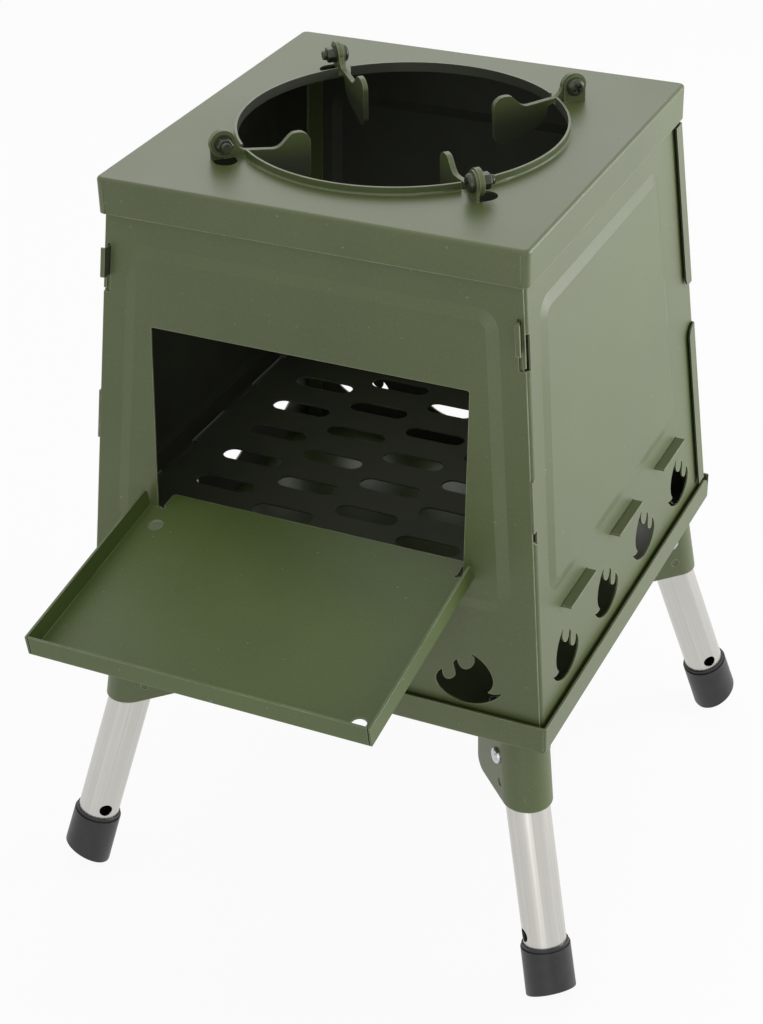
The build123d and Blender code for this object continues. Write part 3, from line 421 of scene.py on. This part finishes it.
# Screws, washers and nuts of the pot supports: steel with a dull dark plating,
# rubbed paler on their edges. Each screw's tail shows a few turns of thread
# beyond its nut.
PLATED_DARK = (50, 54, 40)
PLATED_BRIGHT = (104, 107, 88)
PIVOT_R = 0.103
PIVOT_RISE = 0.0085
TAIL_START_T = 0.00882
TAIL_LENGTH = 0.00226
SCREW_RADIUS = 0.0025
THREAD_PITCH = 0.0008
THREAD_DEPTH = 0.00022
THREAD_FADE = 0.0005
THREAD_ROWS = 46
THREAD_SIDES = 40
plated = Finish("dull_plated_steel", {"Specular IOR Level": 0.6})
stain = plated.noise(240.0, 3.0, 0.6)
rubbed = plated.edges(0.0005)
plated.feed(
    Base_Color=plated.blend(stain.ramp(0.4, 0.7) * 0.4 + rubbed * 0.6, PLATED_DARK, PLATED_BRIGHT),
    Roughness=stain.ramp(0.3, 0.7, 0.3, 0.44),
    Metallic=stain.ramp(0.3, 0.7, 0.35, 0.6),
)
plated.bump(plated.noise(1500.0, 2.0), 0.2, 0.00004)
paint(plated, "support_screws", "support_washers", "support_nuts")


def thread_tail(key, angle):
    """Threaded screw end. At turn u and distance s along the screw the surface
    stands at the screw's radius plus the thread's depth times a triangle wave of
    s over the pitch less u over a full turn, which fades towards the tip.
    """
    a = math.radians(angle)
    out = np.array((math.cos(a), math.sin(a), 0.0))
    along = np.array((-math.sin(a), math.cos(a), 0.0))
    upward = np.array((0.0, 0.0, 1.0))
    foot = PIVOT_R * out + (lid_top + PIVOT_RISE) * upward
    s = np.linspace(0.0, TAIL_LENGTH, THREAD_ROWS)[:, None]
    u = np.linspace(0.0, 2 * np.pi, THREAD_SIDES, endpoint=False)[None, :]
    wave = 1 - 2 * np.abs((s / THREAD_PITCH - u / (2 * np.pi)) % 1.0 - 0.5)
    fade = np.clip((TAIL_LENGTH - s) / THREAD_FADE, 0.0, 1.0)
    reach = SCREW_RADIUS + THREAD_DEPTH * (wave * fade - (1 - fade) * 0.5)
    grid = (
        foot
        + (TAIL_START_T + s)[..., None] * along
        + (reach * np.cos(u))[..., None] * upward
        + (reach * np.sin(u))[..., None] * out
    )
    closed_skin(f"screw_thread_{key}", grid, "lid", plated)


for key, angle in CORNERS.items():
    thread_tail(key, angle)


# Fuel tray: a folded sheet that hooks in the fire door. It lies out of the
# flames, so its coat is clean and a little greener than the body's.
TRAY_DEEP = (64, 81, 28)
TRAY_PALE = (78, 95, 38)
paint(powder_coat("olive_coat_tray", gloss=0.46, shades=(TRAY_DEEP, TRAY_PALE)), "feed_tray")


# Studio: a camera above the stove's right front corner, as far off and as long
# in focus as the photograph's, a wide white floor that keeps the stove's shadow,
# an even white room and four soft panels.
PHOTO_WIDTH, PHOTO_HEIGHT = 763, 1024
FOCAL_PIXELS = 2123.4
MIDDLE_X, MIDDLE_Y = 400.0, 500.0
CAMERA_PLACE = Vector((0.4614, -0.9960, 0.7241660 + pan_low[2]))
CAMERA_AZIMUTH, CAMERA_DOWN, CAMERA_ROLL = (math.radians(a) for a in (25.17, 31.72, -1.27))
SENSOR = 36.0
FLOOR_HALF = 6.0
FLOOR_COLOUR = (236, 236, 234)
FLOOR_WHITE = 0.93
ROOM_LIGHT = 0.45

look = Vector((
    -math.sin(CAMERA_AZIMUTH) * math.cos(CAMERA_DOWN),
    math.cos(CAMERA_AZIMUTH) * math.cos(CAMERA_DOWN),
    -math.sin(CAMERA_DOWN),
))
level_right = look.cross(Vector((0, 0, 1))).normalized()
level_up = level_right.cross(look)
right = math.cos(CAMERA_ROLL) * level_right + math.sin(CAMERA_ROLL) * level_up
up = math.cos(CAMERA_ROLL) * level_up - math.sin(CAMERA_ROLL) * level_right
camera_data = bpy.data.cameras.new("camera")
camera_data.sensor_width = SENSOR
camera_data.lens = FOCAL_PIXELS / PHOTO_HEIGHT * SENSOR
camera_data.shift_x = (PHOTO_WIDTH / 2 - MIDDLE_X) / PHOTO_HEIGHT
camera_data.shift_y = (MIDDLE_Y - PHOTO_HEIGHT / 2) / PHOTO_HEIGHT
camera = bpy.data.objects.new("camera", camera_data)
bpy.context.scene.collection.objects.link(camera)
camera.matrix_world = Matrix.Translation(CAMERA_PLACE) @ Matrix(
    (right, up, -look)
).transposed().to_4x4()
bpy.context.scene.camera = camera
bpy.context.scene.view_settings.view_transform = "Standard"

floor_mesh = bpy.data.meshes.new("floor")
floor_mesh.from_pydata(
    [(x * FLOOR_HALF, y * FLOOR_HALF, 0.0) for x, y in ((-1, -1), (1, -1), (1, 1), (-1, 1))],
    [],
    [(0, 1, 2, 3)],
)
floor = bpy.data.objects.new("floor", floor_mesh)
bpy.context.scene.collection.objects.link(floor)


def seen_direct(tree):
    """1 for what the camera, a gloss or a clear part sees directly, otherwise 0."""
    seen, mirrored, passed = (
        tree.node("ShaderNodeLightPath", {}, {}, ray)
        for ray in ("Is Camera Ray", "Is Glossy Ray", "Is Transmission Ray")
    )
    return (seen + mirrored + passed).ramp(0.0, 1.0)


floor_finish = Finish("studio_floor", {
    "Base Color": paint_colour(*FLOOR_COLOUR), "Roughness": 0.9
})
glow = floor_finish.node("ShaderNodeEmission", {}, {"Strength": 1.0})
matt = Tone(floor_finish, floor_finish.shader.outputs[0])
shown = floor_finish.node(
    "ShaderNodeMixShader", {}, {0: seen_direct(floor_finish) * FLOOR_WHITE, 1: matt, 2: glow}
)
floor_finish.join(shown, floor_finish.tree.nodes["Material Output"].inputs["Surface"])
floor_mesh.materials.append(floor_finish.material)

room = bpy.data.worlds.new("room")
bpy.context.scene.world = room
room_tree = ShaderTree(room)
background = room_tree.tree.nodes["Background"]
background.inputs["Color"].default_value = (1.0, 1.0, 1.0, 1.0)
room_strength = seen_direct(room_tree).ramp(0.0, 1.0, ROOM_LIGHT, 1.0)
room_tree.join(room_strength, background.inputs["Strength"])


def panel(name, place, target, size, watts):
    """Square soft panel at place, turned to face target and unseen by the camera."""
    data = bpy.data.lights.new(name, "AREA")
    data.size = size
    data.energy = watts
    made = bpy.data.objects.new(name, data)
    bpy.context.scene.collection.objects.link(made)
    made.location = place
    made.rotation_euler = (Vector(target) - Vector(place)).to_track_quat("-Z", "Y").to_euler()
    made.visible_camera = False


panel("overhead_light", (-0.1, -0.2, 2.1), (0.0, 0.0, 0.4), 1.4, 6.5)
panel("lid_light", (-0.65, 1.4, 1.45), (0.0, 0.0, 0.45), 1.2, 4)
panel("side_light", (1.35, 0.8, 0.3), (0.12, 0.0, 0.2), 1.2, 24)
panel("front_light", (0.5, -1.9, 0.35), (0.0, 0.0, 0.2), 1.0, 6)
